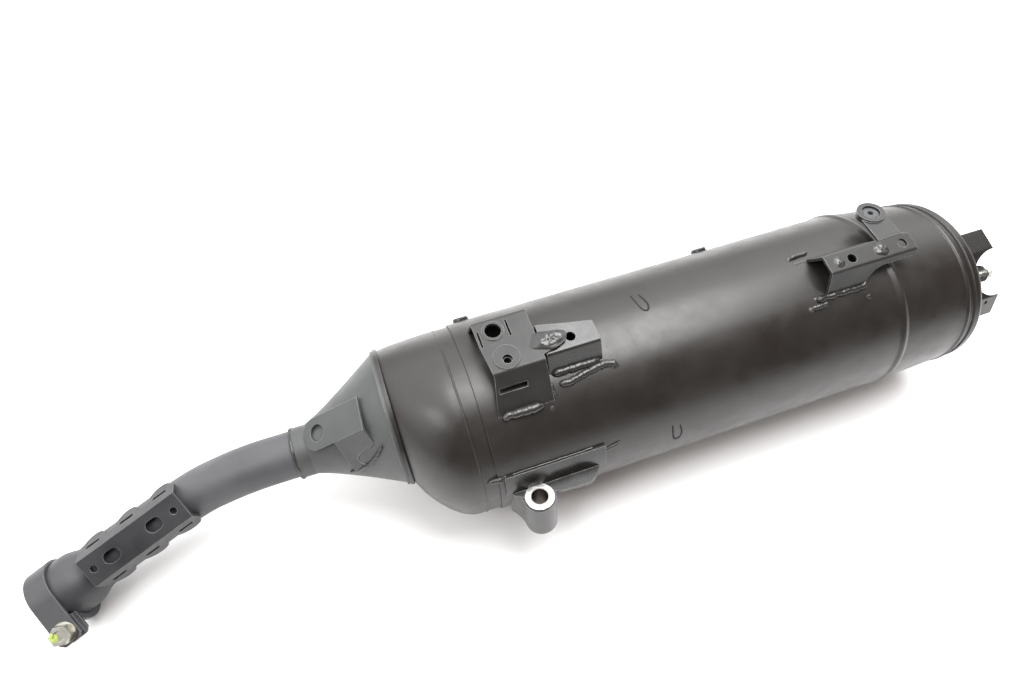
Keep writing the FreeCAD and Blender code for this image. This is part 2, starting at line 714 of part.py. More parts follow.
def make_rear_eyelet_arm():
    reach = EYELET_REACH
    web = [(-10.6, 0.2), (8.5, 0.2), (EYELET_X + 9.2, reach - 3.5), (EYELET_X - 9.4, reach - 2.0)]
    arm = prism(web, SHEET, -SHEET)
    boss = Part.makeCylinder(EYELET_R, 4.6, Vector(EYELET_X, reach, -3.1))
    arm = arm.fuse(boss)
    arm = arm.cut(Part.makeCylinder(EYELET_BORE_R, 20, Vector(EYELET_X, reach, -10)))
    arm = placed(arm.removeSplitter(), arm_frame())
    add("rear_eyelet_arm", arm.cut(parts["rear_bracket"]))


def make_eyelet_grommet():
    body = Part.makeCylinder(EYELET_BORE_R, 3.4, Vector(EYELET_X, EYELET_REACH, -3.1))
    groove = Part.makeCylinder(EYELET_BORE_R + 1, 0.8, Vector(EYELET_X, EYELET_REACH, -0.4))
    groove = groove.cut(Part.makeCylinder(EYELET_BORE_R - 1.4, 0.8, Vector(EYELET_X, EYELET_REACH, -0.4)))
    bore = Part.makeCylinder(2.0, 20, Vector(EYELET_X, EYELET_REACH, -12.0))
    add("eyelet_grommet", placed(body.cut(groove).cut(bore).Solids[0], arm_frame()))


def make_shield_rivets():
    """Two flat-headed rivets on the can's far side."""
    heads = []
    for x, phi in RIVET_PLACES:
        profile = [(-2.0, 0), (-2.0, RIVET_R), (RIVET_H - 0.8, RIVET_R), (RIVET_H, RIVET_R - 0.8), (RIVET_H, 0)]
        head = turned(profile, on_can(x, phi), on_can(0, phi, 1.0))
        heads.append(head.cut(can_solid()).Solids[0])
    add("shield_rivets", Part.makeCompound(heads))


# ---------------------------------------------------------------- tail


def stay_bolt_point():
    return on_can(0, 41.0, STUD_RADIUS)


def make_tail_stay():
    """A three-sided stay on the end cap, scalloped between its two horns."""
    corners = [on_can(0, phi, STAY_CORNER_R) for phi in STAY_ANGLES]
    section = [(p.y, p.z) for p in corners]
    points = [Vector(CAP_REAR - 2.0, y, z) for y, z in section]
    wire = rounded_path(points, 3.0)
    outside = wire.makeOffset2D(SHEET, 0, True, True)
    inside = wire.makeOffset2D(-SHEET, 0, True, True)
    face = min((outside, inside), key=lambda f: math.hypot(f.CenterOfMass.y, f.CenterOfMass.z))
    stay = face.extrude(Vector(STAY_END - CAP_REAR + 2.0, 0, 0))
    direction = on_can(0, 41.0, 1.0)
    scallop = cylinder(Vector(STAY_END - 1.0, 0, 0), direction, 18.2, 90)
    stay = stay.cut(scallop)
    hole = cylinder(Vector(90.0, 0, 0) + on_can(0, 62.5, 30.0), on_can(0, 70.5, 1.0), 1.9, 60)
    stay = stay.cut(hole)
    base_points = [on_can(CAP_REAR - 2.0, phi, STAY_CORNER_R - 1.0) for phi in (5.0, 21.0, 61.0, 78.0)]
    base_points += [on_can(CAP_REAR - 2.0, phi, 38.0) for phi in (70.0, 41.0, 12.0)]
    base = polygon_face(base_points).extrude(Vector(SHEET, 0, 0))
    bolt = stay_bolt_point()
    stay = stay.fuse(base).cut(along_x(M6_R + 0.2, 60, 80, bolt.y, bolt.z))
    add("tail_stay", stay.removeSplitter())


def make_tail_bolt():
    """A stud welded in the end cap and the nut that the tail cover is held with."""
    point = stay_bolt_point()
    stud = along_x(M6_R, 58.0, STAY_END - 0.5, point.y, point.z)
    head = along_x(6.0, 58.0, CAP_REAR - 3.5, point.y, point.z)
    add("tail_stud", stud.fuse(head).removeSplitter())
    nut = hexagon(10.0, 6.0).fuse(Part.makeCylinder(6.6, 1.2)).cut(Part.makeCylinder(M6_R, 9, Vector(0, 0, -1)))
    nut = nut.removeSplitter()
    add("tail_nut", placed(nut, axes(Vector(0, 1, 0), Vector(1, 0, 0), Vector(TAIL_NUT_X, point.y, point.z))))


def make_tail_pipe():
    add("tail_pipe", ring_x(TAIL_PIPE_R, TAIL_PIPE_R - TAIL_PIPE_T, 34.0, TAIL_PIPE_END, TAIL_PIPE_Y, TAIL_PIPE_Z))


# ---------------------------------------------------------------- inside the can


def make_inner_drum():
    drum = ring_x(INNER_R + INNER_T, INNER_R, -298.0, 0.0)
    add("inner_drum", drum)
    wool = ring_x(DOME_SKIRT_R - DOME_T - 0.3, INNER_R + INNER_T, -296.0, -2.0)
    add("sound_packing", wool)


def make_catalyst():
    can = ring_x(CATALYST_R, CATALYST_R - 1.2, CATALYST_FRONT, CATALYST_REAR, INLET_Y, INLET_Z)
    add("catalyst_can", can)
    brick = along_x(CATALYST_R - 1.2, -350.0, -280.0, INLET_Y, INLET_Z)
    channels = []
    pitch = 9.0
    for row in range(-3, 4):
        for column in range(-3, 4):
            y, z = row * pitch, column * pitch
            if math.hypot(y, z) < CATALYST_R - 9.0:
                channels.append(along_x(2.6, -351.0, -279.0, INLET_Y + y, INLET_Z + z))
    add("catalyst_brick", brick.cut(channels))


def make_inlet_diffuser():
    """The inner cone that leads the gas from the header pipe into the catalyst."""
    big = (CATALYST_R - 1.2) / (cone_radius(1.0))
    outer = [cone_circle(k / 6, 0.0, big) for k in range(7)]
    inner = [cone_circle(k / 6, 1.6, big) for k in range(7)]
    shape = Part.makeLoft(outer, True, False).cut(Part.makeLoft(inner, True, False))
    collar = ring_x(CATALYST_R - 1.2, CATALYST_R - 2.4, CONE_BIG_X, -358.0, INLET_Y, INLET_Z)
    add("inlet_diffuser", shape.fuse(collar).removeSplitter())


def make_baffles():
    names = ("front_baffle", "middle_baffle", "rear_baffle")
    tubes = {
        "front_baffle": (CORE, TRANSFER),
        "middle_baffle": (CORE, TRANSFER, RETURN),
        "rear_baffle": (TRANSFER, RETURN),
    }
    for name, x in zip(names, BAFFLES):
        plate = along_x(INNER_R, x, x + 1.5)
        rim = ring_x(INNER_R, INNER_R - 1.5, x, x + 10.0)
        plate = plate.fuse(rim)
        for y, z in tubes[name]:
            plate = plate.cut(along_x(TUBE_R, x - 5, x + 12, y, z))
        if name == "rear_baffle":
            plate = plate.cut(along_x(TUBE_R, x - 5, x + 12, TAIL_PIPE_Y, TAIL_PIPE_Z - 14))
        add(name, plate.removeSplitter())
    holder = along_x(INNER_R, -270.0, -268.5).fuse(ring_x(INNER_R, INNER_R - 1.5, -270.0, -261.0))
    holder = holder.cut(along_x(CATALYST_R, -280, -255, INLET_Y, INLET_Z))
    add("catalyst_holder", holder.removeSplitter())


def perforate(tube, x0, x1, y, z):
    """Rows of round holes through a tube's wall."""
    drills = []
    for k in range(int((x1 - x0) // 12)):
        x = x0 + 6 + 12 * k
        for turn in (0, 60, 120):
            direction = Vector(0, math.cos(math.radians(turn)), math.sin(math.radians(turn)))
            start = Vector(x, y, z) - direction * (TUBE_R + 3)
            drills.append(cylinder(start, direction, 2.0, 2 * TUBE_R + 6))
    return tube.cut(drills)


def make_tubes():
    inner = TUBE_R - TUBE_T
    transfer = ring_x(TUBE_R, inner, -225.0, 8.0, *TRANSFER)
    add("transfer_tube", transfer)
    back = ring_x(TUBE_R, inner, -122.0, -4.0, *RETURN)
    add("return_tube", perforate(back, -100.0, -28.0, *RETURN))
    core = ring_x(TUBE_R, inner, -226.0, -84.0, *CORE)
    add("perforated_core_tube", perforate(core, -200.0, -116.0, *CORE))


def place_on_table():
    """Shifts every sub-part so that the origin is the middle of the bounding box's bottom face."""
    box = FreeCAD.BoundBox()
    for shape in parts.values():
        box.add(shape.optimalBoundingBox(False, False))
    shift = Vector(-(box.XMin + box.XMax) / 2, -(box.YMin + box.YMax) / 2, -box.ZMin)
    for name, shape in parts.items():
        moved = shape.copy()
        moved.translate(shift)
        parts[name] = moved


def write_parts():
    os.makedirs("parts", exist_ok=True)
    for name, shape in parts.items():
        shape.exportStep(os.path.join("parts", name + ".step"))


def main():
    make_main_shell()
    make_front_dome()
    make_front_cone()
    make_end_cap()
    make_header_pipe()
    make_inlet_socket()
    make_inlet_gasket()
    frame, middle = make_clamp_band()
    make_clamp_fasteners(frame, middle)
    make_header_guard_bracket()
    make_cone_bracket()
    make_front_bracket_plate()
    make_front_bracket_nut()
    make_front_bracket_channel()
    make_lower_bracket()
    make_mounting_lug()
    make_lug_bush()
    make_rear_bracket()
    make_rear_eyelet_arm()
    make_eyelet_grommet()
    make_shield_rivets()
    make_tail_stay()
    make_tail_bolt()
    make_tail_pipe()
    make_inner_drum()
    make_catalyst()
    make_inlet_diffuser()
    make_baffles()
    make_tubes()
    place_on_table()
    write_parts()


main()
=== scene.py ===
"""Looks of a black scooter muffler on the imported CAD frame: materials, welds, marks, light and camera."""
import json
import math

import bmesh
import bpy
from mathutils import Matrix, Vector, noise
from mathutils.bvhtree import BVHTree


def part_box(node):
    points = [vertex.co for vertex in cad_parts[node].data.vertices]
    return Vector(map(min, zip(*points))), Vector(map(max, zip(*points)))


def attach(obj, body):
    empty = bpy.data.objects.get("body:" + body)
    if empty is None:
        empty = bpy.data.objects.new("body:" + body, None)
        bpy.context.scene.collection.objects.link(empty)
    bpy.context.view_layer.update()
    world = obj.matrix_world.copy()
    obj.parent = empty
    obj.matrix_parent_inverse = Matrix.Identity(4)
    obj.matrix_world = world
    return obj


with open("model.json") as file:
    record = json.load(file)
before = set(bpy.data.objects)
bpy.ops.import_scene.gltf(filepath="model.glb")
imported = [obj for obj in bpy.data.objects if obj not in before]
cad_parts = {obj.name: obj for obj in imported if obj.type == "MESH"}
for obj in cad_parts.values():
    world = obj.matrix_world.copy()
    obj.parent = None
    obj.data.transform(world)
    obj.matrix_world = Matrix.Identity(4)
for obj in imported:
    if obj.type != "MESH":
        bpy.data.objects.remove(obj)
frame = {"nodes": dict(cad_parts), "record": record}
bpy.context.view_layer.update()

NODES = frame["nodes"]
MM = 0.001
END_BEHIND_BEAD = 0.062     # metres from the rear bead to the shell's end
CAN_RAY = (0.12, 0.1)       # metres: rays towards the can start this far from its axis and are this long
LUMP_RAY = (0.01, 0.03)     # metres: rays onto a surface start this far above it and are this long
SUNK = 0.12                 # mm that a lump's rim lies below the surface
MM_PER_DEGREE = 1.22        # round the can's outside
SIZE_NOISE, SWAY_NOISE, LUMP_NOISE = 180, 260, 420     # how fine the unevenness of welds is, per metre
LIGHT_DISTANCE = 1.5        # metres from a light to its target

# ---------------------------------------------------------------- places on the object
# The can's axis runs along X. AXIS_POINT is the point on it at the rear bead.
# Lengths below are in mm from there.
shell_low, shell_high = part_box("main_shell")
AXIS_POINT = Vector((shell_high.x - END_BEHIND_BEAD, (shell_low.y + shell_high.y) / 2,
                     (shell_low.z + shell_high.z) / 2))


def at(x, y, z):
    """A point in the row frame from mm along and across the can."""
    return AXIS_POINT + Vector((x, y, z)) * MM


def tree_of(*names):
    """A search tree over the triangles of some CAD nodes."""
    points, faces = [], []
    for name in names:
        mesh = NODES[name].data
        start = len(points)
        points += [v.co.copy() for v in mesh.vertices]
        faces += [[start + i for i in p.vertices] for p in mesh.polygons]
    return BVHTree.FromPolygons(points, faces)


CAN_TREE = tree_of("main_shell", "front_dome", "end_cap")


def radial(phi):
    """Unit vector away from the can's axis, phi degrees from straight up towards the camera's side."""
    angle = math.radians(phi)
    return Vector((0, -math.sin(angle), math.cos(angle)))


def on_can(x, phi, lift=0.0, tree=None):
    """(point, normal) on the can's outside at x mm and phi degrees, raised by lift mm, or None."""
    out = radial(phi)
    start = at(x, 0, 0) + out * CAN_RAY[0]
    hit, normal, _, _ = (tree or CAN_TREE).ray_cast(start, -out, CAN_RAY[1])
    if hit is None:
        return None
    return hit + out * lift * MM, normal


def foot_line(node, x_from, x_to, phi_from, phi_to, step=1.0, lift=0.3):
    """Points where a bracket's wall meets the can, found by walking round the can from phi_from to phi_to."""
    tree = tree_of(node)
    count = max(2, round(abs(x_to - x_from) / step))
    turn = 0.2 if phi_to > phi_from else -0.2
    line = []
    for i in range(count + 1):
        x = x_from + (x_to - x_from) * i / count
        phi = phi_from
        while (phi_to - phi) * turn > 0:
            if on_can(x, phi, tree=tree):
                line.append(on_can(x, phi - turn, lift)[0])
                break
            phi += turn
    return line


# ---------------------------------------------------------------- mesh pieces
def new_object(name, bm, material, body="muffler"):
    """Makes a smooth-shaded piece from a bmesh, gives it its material and lets it ride on a body."""
    mesh = bpy.data.meshes.new(name)
    bmesh.ops.recalc_face_normals(bm, faces=bm.faces)
    bm.to_mesh(mesh)
    bm.free()
    mesh.shade_smooth()
    obj = bpy.data.objects.new(name, mesh)
    bpy.context.scene.collection.objects.link(obj)
    mesh.materials.append(material)
    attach(obj, body)


def resample(points, step, closed=False):
    """Evenly spaced points along a polyline, step metres apart."""
    path = points + [points[0]] if closed else points
    lengths = [0.0]
    for a, b in zip(path, path[1:]):
        lengths.append(lengths[-1] + (b - a).length)
    count = max(3, round(lengths[-1] / step))
    out = []
    k = 0
    for i in range(count if closed else count + 1):
        s = lengths[-1] * i / count
        while k < len(lengths) - 2 and lengths[k + 1] < s:
            k += 1
        span = max(lengths[k + 1] - lengths[k], 1e-9)
        out.append(path[k].lerp(path[k + 1], (s - lengths[k]) / span))
    return out


def smoothed(points, rounds=2, closed=False):
    """The same points with small kinks evened out; the ends stay."""
    for _ in range(rounds):
        n = len(points)
        fresh = []
        for i, p in enumerate(points):
            if not closed and i in (0, n - 1):
                fresh.append(p)
            else:
                fresh.append((points[i - 1] + p * 2 + points[(i + 1) % n]) / 4)
        points = fresh
    return points


def add_bead(bm, points, radius, closed=False, ripple=0.13, pitch=1.5, seed=0, sides=10):
    """Adds one run of weld: a thick rope with the overlapping scales that a torch leaves, radius in mm."""
    step = 0.4 * MM
    path = resample(smoothed(points, 2, closed), step, closed)
    n = len(path)
    rings = []
    for i, p in enumerate(path):
        before = path[i - 1] if (closed or i) else p
        after = path[(i + 1) % n] if (closed or i < n - 1) else p
        along = (after - before).normalized()
        side = along.cross(Vector((0.21, 0.13, 0.97))).normalized()
        up = side.cross(along)
        s = i * step / MM
        scale = (s / pitch) % 1.0
        size = 1 + ripple * (0.5 - scale) + 0.22 * noise.noise(p * SIZE_NOISE + Vector((seed, 0, 0)))
        if not closed:
            end = min(s, (n - 1) * step / MM - s) / (radius * 1.3)
            size *= math.sqrt(min(1.0, 0.06 + end))
        place = p * SWAY_NOISE
        sway = Vector((noise.noise(place), noise.noise(place + Vector((9, 0, 0))), 0))
        wander = sway * 0.25 * radius * MM
        ring = []
        for j in range(sides):
            a = 2 * math.pi * j / sides
            spoke = (side * math.cos(a) + up * math.sin(a)) * radius * MM * size
            ring.append(bm.verts.new(p + wander + spoke))
        rings.append(ring)
    pairs = list(zip(rings, rings[1:]))
    if closed:
        pairs.append((rings[-1], rings[0]))
    for a, b in pairs:
        for j in range(sides):
            k = (j + 1) % sides
            bm.faces.new((a[j], a[k], b[k], b[j]))
    if not closed:
        bm.faces.new(rings[0])
        bm.faces.new(rings[-1])


def bead(name, points, radius, material, slot="bracket_paint", **options):
    """One weld bead as its own piece."""
    bm = bmesh.new()
    add_bead(bm, points, radius, **options)
    new_object(name, bm, material)


def circle(centre, axis, radius, count=72):
    """Points of a circle in the row frame, radius in mm, round an axis."""
    axis = axis.normalized()
    side = axis.orthogonal().normalized()
    up = axis.cross(side)
    out = []
    for i in range(count):
        a = math.radians(360.0 * i / count)
        out.append(centre + (side * math.cos(a) + up * math.sin(a)) * radius * MM)
    return out


def add_puddle(bm, tree, centre, out, along, length, width, height, seed=0):
    """Adds a lump of weld metal lying on a surface: sizes in mm, out points away from the surface."""
    out = out.normalized()
    along = (along - out * along.dot(out)).normalized()
    across = out.cross(along)
    rings, sides = 9, 28
    last = None
    first = None
    for r in range(rings + 1):
        share = r / rings
        ring = []
        for j in range(sides if r else 1):
            a = 2 * math.pi * j / sides
            edge = 1 + 0.25 * noise.noise(Vector((math.cos(a) * 1.3, math.sin(a) * 1.3, seed)))
            offset = (along * math.cos(a) * length + across * math.sin(a) * width) * 0.5 * share * edge * MM
            ground, _, _, _ = tree.ray_cast(centre + offset + out * LUMP_RAY[0], -out, LUMP_RAY[1])
            if ground is None:
                ground = centre + offset
            lumps = 1 + 0.55 * noise.noise((centre + offset) * LUMP_NOISE + Vector((0, 0, seed)))
            rise = height * (1 - share ** 2.4) * lumps
            ring.append(bm.verts.new(ground + out * (rise - SUNK) * MM))
        if r == 0:
            first = ring[0]
        elif r == 1:
            for j in range(sides):
                bm.faces.new((first, ring[j], ring[(j + 1) % sides]))
        else:
            for j in range(sides):
                k = (j + 1) % sides
                bm.faces.new((last[j], ring[j], ring[k], last[k]))
        last = ring


def puddle(name, tree, centre, out, along, length, width, height, material, seed=0, body="muffler"):
    """One lump of weld metal or paint as its own piece."""
    bm = bmesh.new()
    add_puddle(bm, tree, centre, out, along, length, width, height, seed)
    new_object(name, bm, material, body)


# ---------------------------------------------------------------- materials
class Finish:
    """A procedural material being put together. Textures use the object's own coordinates in metres."""

    def __init__(self, name, colour, roughness, metallic=0.0, specular=0.5):
        self.material = bpy.data.materials.new(name)
        self.material.use_nodes = True
        self.tree = self.material.node_tree
        self.shader = self.tree.nodes["Principled BSDF"]
        self.shader.inputs["Base Color"].default_value = (*colour, 1)
        self.shader.inputs["Roughness"].default_value = roughness
        self.shader.inputs["Metallic"].default_value = metallic
        self.shader.inputs["Specular IOR Level"].default_value = specular
        self.place = self.tree.nodes.new("ShaderNodeTexCoord").outputs["Object"]

    def add(self, kind, inputs=None, **settings):
        node = self.tree.nodes.new(kind)
        for key, value in settings.items():
            setattr(node, key, value)
        for key, value in (inputs or {}).items():
            if isinstance(value, bpy.types.NodeSocket):
                self.tree.links.new(value, node.inputs[key])
            else:
                node.inputs[key].default_value = value
        return node

    def stretched(self, x, y, z):
        """The object's coordinates with each axis scaled, for grain that runs one way."""
        return self.add("ShaderNodeMapping", {"Vector": self.place, "Scale": (x, y, z)}).outputs["Vector"]

    def noise(self, scale, detail=4.0, roughness=0.55, place=None):
        inputs = {"Vector": place or self.place, "Scale": scale, "Detail": detail, "Roughness": roughness}
        return self.add("ShaderNodeTexNoise", inputs).outputs["Fac"]

    def remap(self, value, low, high, to_low, to_high):
        inputs = {"Value": value, "From Min": low, "From Max": high, "To Min": to_low, "To Max": to_high}
        return self.add("ShaderNodeMapRange", inputs).outputs["Result"]

    def math(self, operation, a, b):
        return self.add("ShaderNodeMath", {0: a, 1: b}, operation=operation).outputs[0]

    def mix(self, share, a, b):
        node = self.add("ShaderNodeMix", data_type="RGBA")
        for key, value in (("Factor", share), ("A", a), ("B", b)):
            kind = "VALUE" if key == "Factor" else "RGBA"
            socket = [s for s in node.inputs if s.name == key and s.type == kind][0]
            if isinstance(value, bpy.types.NodeSocket):
                self.tree.links.new(value, socket)
            else:
                socket.default_value = (*value, 1) if key != "Factor" else value
        return [s for s in node.outputs if s.type == "RGBA"][0]

    def bump(self, height, strength, distance, normal=None):
        inputs = {"Height": height, "Strength": strength, "Distance": distance}
        if normal is not None:
            inputs["Normal"] = normal
        return self.add("ShaderNodeBump", inputs).outputs["Normal"]

    def soft_edges(self, radius):
        """(normal with rounded edges, mask that is 1 on edges)."""
        rounded = self.add("ShaderNodeBevel", {"Radius": radius}, samples=4).outputs["Normal"]
        face = self.add("ShaderNodeNewGeometry").outputs["Normal"]
        same = self.add("ShaderNodeVectorMath", {0: rounded, 1: face}, operation="DOT_PRODUCT")
        return rounded, self.remap(same.outputs["Value"], 0.985, 0.86, 0.0, 1.0)

    def set(self, **links):
        """Joins node outputs to the shader's inputs, such as roughness=socket."""
        names = {"colour": "Base Color", "roughness": "Roughness", "normal": "Normal"}
        for key, socket in links.items():
            self.tree.links.new(socket, self.shader.inputs[names[key]])
        return self.material


def paint(name, dark, light, roughness, peel=0.10, edge=(0.10, 0.10, 0.10), edge_radius=0.0006, wave=0.0,
          specular=0.5):
    """Baked-on black paint: cloudy tone, orange peel, dust specks, and paler along sheet edges, partly as
    thinner worn paint and partly as a painted highlight.
    """
    f = Finish(name, dark, roughness, specular=specular)
    clouds = f.noise(16, 6, 0.6)
    patches = f.noise(75, 5, 0.6)
    grain = f.noise(650, 3, 0.5)
    specks = f.add("ShaderNodeTexVoronoi", {"Vector": f.place, "Scale": 210}).outputs["Distance"]
    rounded, edges = f.soft_edges(edge_radius)
    tone = f.mix(f.remap(clouds, 0.35, 0.68, 0.0, 1.0), dark, light)
    dusty = f.mix(f.remap(specks, 0.055, 0.03, 0.0, 0.35), tone, (0.16, 0.16, 0.155))
    # Paler edge colour: partly worn thin paint, partly a painted highlight for the bright sheet edges.
    worn_and_highlit_edges = f.mix(f.math("MULTIPLY", edges, f.remap(patches, 0.3, 0.62, 0.15, 0.85)), dusty, edge)
    rough = f.math("ADD", f.remap(patches, 0.3, 0.7, roughness - 0.05, roughness + 0.07),
                   f.remap(clouds, 0.3, 0.7, -0.03, 0.05))
    fine = f.bump(grain, peel, 0.0002, rounded)
    if wave:
        fine = f.bump(f.noise(38, 3, 0.5), wave, 0.002, fine)
    return f.set(colour=worn_and_highlit_edges, roughness=rough, normal=fine)


def zinc(name, colour, roughness, scratch=0.25):
    """Bright zinc plate with a faint blue and yellow cast and fine machining scratches."""
    f = Finish(name, colour, roughness, metallic=1.0)
    cast = f.noise(120, 4, 0.6)
    rounded, _ = f.soft_edges(0.0004)
    warm = (colour[0] * 0.92, colour[1] * 0.9, colour[2] * 0.78)
    tint = f.mix(f.remap(cast, 0.35, 0.65, 0, 1), colour, warm)
    dull = f.mix(f.remap(f.noise(420, 3), 0.55, 0.75, 0, 0.5), tint, (0.25, 0.24, 0.22))
    rough = f.remap(f.noise(300, 4, 0.7), 0.3, 0.7, roughness - 0.08, roughness + 0.12)
    lines = f.noise(500, 2, 0.5, f.stretched(1, 1, 9))
    return f.set(colour=dull, roughness=rough, normal=f.bump(lines, scratch, 0.0001, rounded))


def shaded_bore_zinc(mount):
    """Zinc plate with painted shade inside one of the record's bores, dark brown there, and bright outside
    it.
    """
    place = next(m for m in frame["record"]["mounts"] if m["name"] == mount)
    f = Finish("zinc_bush", (0.56, 0.56, 0.55), 0.30, metallic=1.0)
    arm = f.add("ShaderNodeVectorMath", {0: f.place, 1: place["pos_m"]}, operation="SUBTRACT").outputs[0]
    reach = f.add("ShaderNodeVectorMath", {0: arm, 1: place["axis"]}, operation="CROSS_PRODUCT").outputs[0]
    radius = f.add("ShaderNodeVectorMath", {0: reach}, operation="LENGTH").outputs["Value"]
    bore = place["dims"]["r_mm"] * MM
    # Painted shade: the bore's inner wall is turned dark brown.
    painted_shade_in_bore = f.remap(radius, bore * 1.04, bore * 1.20, 1.0, 0.0)
    stains = f.mix(f.remap(f.noise(260, 5, 0.6), 0.45, 0.65, 0, 0.7), (0.56, 0.56, 0.55), (0.20, 0.19, 0.16))
    rounded, _ = f.soft_edges(0.0004)
    rough = f.remap(f.noise(300, 4, 0.7), 0.3, 0.7, 0.24, 0.44)
    lines = f.noise(500, 2, 0.5, f.stretched(1, 1, 9))
    return f.set(colour=f.mix(painted_shade_in_bore, stains, (0.075, 0.062, 0.048)), roughness=rough,
                 normal=f.bump(lines, 0.25, 0.0001, rounded))


def plain(name, dark, light, roughness, scale, metallic=0.0, bump=0.3, depth=0.0003, stretch=(1, 1, 1)):
    """A two-tone surface with matching bump, for rubber, graphite, ceramic and fibre."""
    f = Finish(name, dark, roughness, metallic=metallic)
    place = f.stretched(*stretch)
    blend = f.noise(scale, 5, 0.6, place)
    fine = f.noise(scale * 6, 3, 0.6, place)
    colour = f.mix(f.remap(blend, 0.32, 0.68, 0, 1), dark, light)
    rough = f.remap(fine, 0.3, 0.7, max(0.05, roughness - 0.1), min(1.0, roughness + 0.1))
    return f.set(colour=colour, roughness=rough, normal=f.bump(fine, bump, depth))


# Each paint's edge colour is partly worn paint and partly a painted highlight along sheet edges.
BODY_PAINT = paint("paint_body", (0.0120, 0.0102, 0.0090), (0.0175, 0.0155, 0.0142), 0.34, peel=0.10,
                   wave=0.05)
BRACKET_PAINT = paint("paint_bracket", (0.0120, 0.0115, 0.0110), (0.0230, 0.0225, 0.0220), 0.24, peel=0.22,
                      edge=(0.34, 0.34, 0.34), edge_radius=0.0008, wave=0.06)
PIPE_PAINT = paint("paint_pipe", (0.046, 0.046, 0.051), (0.072, 0.072, 0.078), 0.50, peel=0.25,
                   edge=(0.24, 0.24, 0.25), edge_radius=0.0008, wave=0.05)
GUARD_PAINT = paint("paint_guard", (0.013, 0.013, 0.015), (0.027, 0.027, 0.030), 0.42, peel=0.25,
                    edge=(0.26, 0.26, 0.27), edge_radius=0.0008, wave=0.05)
CLAMP_PAINT = paint("paint_clamp", (0.026, 0.026, 0.029), (0.044, 0.044, 0.049), 0.46, peel=0.25,
                    edge=(0.24, 0.24, 0.25), edge_radius=0.0008, wave=0.05)
CONE_PAINT = paint("paint_cone", (0.040, 0.043, 0.042), (0.064, 0.068, 0.066), 0.46, peel=0.25,
                   edge=(0.26, 0.27, 0.27), edge_radius=0.0008, wave=0.07)
STAY_PAINT = paint("paint_stay", (0.0110, 0.0105, 0.0100), (0.0200, 0.0195, 0.0190), 0.42, peel=0.25,
                   edge=(0.34, 0.34, 0.34), edge_radius=0.0008, wave=0.08, specular=0.42)
WELD_PAINT = paint("paint_weld", (0.014, 0.014, 0.014), (0.028, 0.027, 0.026), 0.24, peel=0.3,
                   edge_radius=0.0002, specular=0.55)
YELLOW = plain("paint_mark", (0.27, 0.36, 0.05), (0.38, 0.46, 0.12), 0.55, 500, bump=0.2)
# Near-black rough material: painted shade of grooves, for the pressed marks and the tail seam.
GROOVE_SHADE = plain("painted_groove_shade", (0.004, 0.004, 0.004), (0.008, 0.008, 0.008), 0.85, 400)
ZINC = zinc("zinc_plate", (0.62, 0.63, 0.64), 0.30)
BOLT_ZINC = zinc("zinc_bolt", (0.40, 0.40, 0.38), 0.34)
STEEL = zinc("stainless_heat", (0.48, 0.45, 0.41), 0.36)
GRAPHITE = plain("graphite", (0.030, 0.030, 0.032), (0.075, 0.075, 0.078), 0.55, 260, metallic=0.25, bump=0.5)
RUBBER = plain("rubber_grey", (0.040, 0.042, 0.044), (0.068, 0.070, 0.072), 0.62, 180, bump=0.25)
CERAMIC = plain("ceramic", (0.42, 0.36, 0.27), (0.62, 0.56, 0.44), 0.85, 140, bump=0.5)
FIBRE = plain("fibre", (0.45, 0.40, 0.28), (0.78, 0.73, 0.58), 0.95, 90, bump=0.9, depth=0.001,
              stretch=(1, 3, 3))

SLOTS = {
    "black_paint": BODY_PAINT,
    "bracket_paint": BRACKET_PAINT,
    "pipe_paint": PIPE_PAINT,
    "zinc_plate": ZINC,
    "fastener_zinc": BOLT_ZINC,
    "graphite_gasket": GRAPHITE,
    "grey_rubber": RUBBER,
    "stainless_inner": STEEL,
    "catalyst_ceramic": CERAMIC,
    "packing": FIBRE,
}
OWN_FINISH = {
    "header_guard_bracket": GUARD_PAINT,
    "front_bracket_plate": STAY_PAINT,
    "rear_bracket": STAY_PAINT,
    "front_cone": CONE_PAINT,
    "cone_bracket": CONE_PAINT,
    # The lug bush carries painted shade inside its bore.
    "lug_bush": shaded_bore_zinc("lug_bush_bore"),
    "clamp_band": CLAMP_PAINT,
    "inlet_socket": CLAMP_PAINT,
    # The clamp nut gets the dark clamp paint as painted shade for the shadow under the socket.
    "clamp_nut": CLAMP_PAINT,
}
for name, node in NODES.items():
    for slot in node.material_slots:
        slot.material = OWN_FINISH.get(name) or SLOTS[slot.material.name.split(".")[0]]

# ---------------------------------------------------------------- welds
UP = Vector((0, 0, 1))
ALONG = Vector((1, 0, 0))


def weld_bead(name, points, radius, **options):
    """One bead of painted weld, radius in mm."""
    bead("weld_" + name, points, radius, WELD_PAINT, **options)


def weld_on(node, point, out, length, width, height, seed):
    """A lump of weld on one CAD node, its length along the can; sizes in mm."""
    puddle("weld_lump_%s_%d" % (node, seed), tree_of(node), point, out, ALONG, length, width, height,
           WELD_PAINT, seed)


def seam(name, x, y, z, ring_radius, radius, material, seed):
    """A thin closed ring round the can at one of its seams, sizes in mm."""
    bead(name, circle(at(x, y, z), ALONG, ring_radius, 180), radius, material, slot="black_paint",
         closed=True, ripple=0.0, seed=seed)


def can_line(points, lift=0.2):
    """A path over the can from (x, phi) points, filled in every 2 mm or so."""
    line = []
    for (x0, phi0), (x1, phi1) in zip(points, points[1:]):
        count = max(2, round(math.hypot(x1 - x0, (phi1 - phi0) * MM_PER_DEGREE) / 2))
        for k in range(count):
            x, phi = x0 + (x1 - x0) * k / count, phi0 + (phi1 - phi0) * k / count
            line.append(on_can(x, phi, lift)[0])
    return line + [on_can(*points[-1], lift)[0]]


